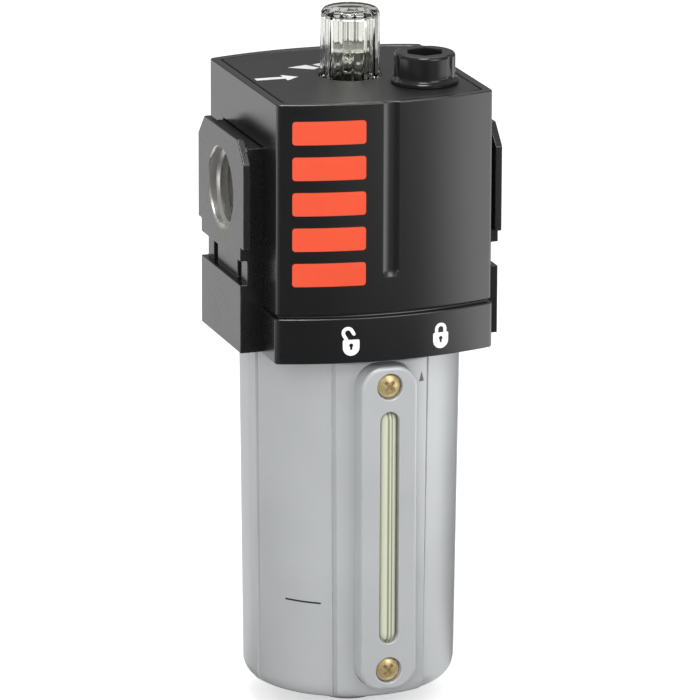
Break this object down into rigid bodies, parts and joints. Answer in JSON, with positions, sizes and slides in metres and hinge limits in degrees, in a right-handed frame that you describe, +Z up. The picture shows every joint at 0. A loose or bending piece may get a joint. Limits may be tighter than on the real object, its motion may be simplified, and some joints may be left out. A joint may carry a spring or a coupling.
{
  "type": "air line lubricator",
  "caption": "Air line lubricator with a covered head, two threaded ports, a clear ribbed sight dome, a fill plug, and a twist-off metal bowl with a sight strip.",
  "frame": {"origin": "the middle of the bowl's foot, on the bowl's axis, at the level that the part stands on", "axes": "+Z up along the bowl and the sight dome, +X along the air flow from the inlet port to the outlet port, -Y towards the side with the sight strip"},
  "size_m": [0.071, 0.0694, 0.1875],
  "materials": {
    "head_paint": "satin",
    "cover_plastic": "satin",
    "top_plate_plastic": "fine matte",
    "plug_plastic": "glossy",
    "clear_plastic": "clear",
    "white_plastic": "moulded",
    "tube_plastic": "milky",
    "rubber": "moulded",
    "steel": "bright",
    "bronze": "sintered",
    "brass": "turned",
    "bowl_metal": "satin grey coat",
    "screw_zinc": "yellow zinc"
  },
  "bodies": {
    "head": {"body_casting": "head_paint", "cover": "cover_plastic", "top_plate": "top_plate_plastic", "dome_seal_ring": "rubber", "dome_retaining_clip": "steel", "drip_insert": "white_plastic", "vane_carrier": "white_plastic", "flow_vane": "rubber", "siphon_adaptor": "white_plastic", "siphon_tube": "tube_plastic", "pickup_strainer": "bronze", "air_valve_seat": "brass"},
    "siphon_ball": {"siphon_check_ball": "steel"},
    "air_ball": {"air_check_ball": "steel"},
    "dome": {"sight_dome": "clear_plastic", "dome_o_ring": "rubber"},
    "plug_lift": {"fill_plug_o_ring": "rubber"},
    "plug": {"fill_plug": "plug_plastic"},
    "bowl_unit": {"bowl": "bowl_metal", "bowl_o_ring": "rubber", "sight_plate": "bowl_metal", "sight_glass": "clear_plastic", "sight_gasket": "rubber", "sight_screws": "screw_zinc"}
  },
  "joints": [
    {"name": "dome_turn", "type": "hinge", "parent": "head", "child": "dome", "pos_m": [0, 0, 0.165], "axis": [0, 0, 1], "range_deg": [-85, 85]},
    {"name": "fill_plug_lift", "type": "slide", "parent": "head", "child": "plug_lift", "axis": [0, 0, 1], "range_m": [0, 0.006]},
    {"name": "fill_plug_turn", "type": "hinge", "parent": "plug_lift", "child": "plug", "pos_m": [0.0155, -0.015, 0.165], "axis": [0, 0, 1], "range_deg": [0, 1080]},
    {"name": "bowl_turn", "type": "hinge", "parent": "head", "child": "bowl_unit", "pos_m": [0, 0, 0.11], "axis": [0, 0, 1], "range_deg": [-40, 0]},
    {"name": "siphon_ball_lift", "type": "slide", "parent": "head", "child": "siphon_ball", "axis": [0, 0, 1], "range_m": [0, 0.001]},
    {"name": "air_ball_lift", "type": "slide", "parent": "head", "child": "air_ball", "axis": [0, 0, 1], "range_m": [0, 0.001]}
  ],
  "couplings": [
    {"joint": "fill_plug_turn", "follows": "fill_plug_lift", "rad_per_m": 3141.6}
  ]
}
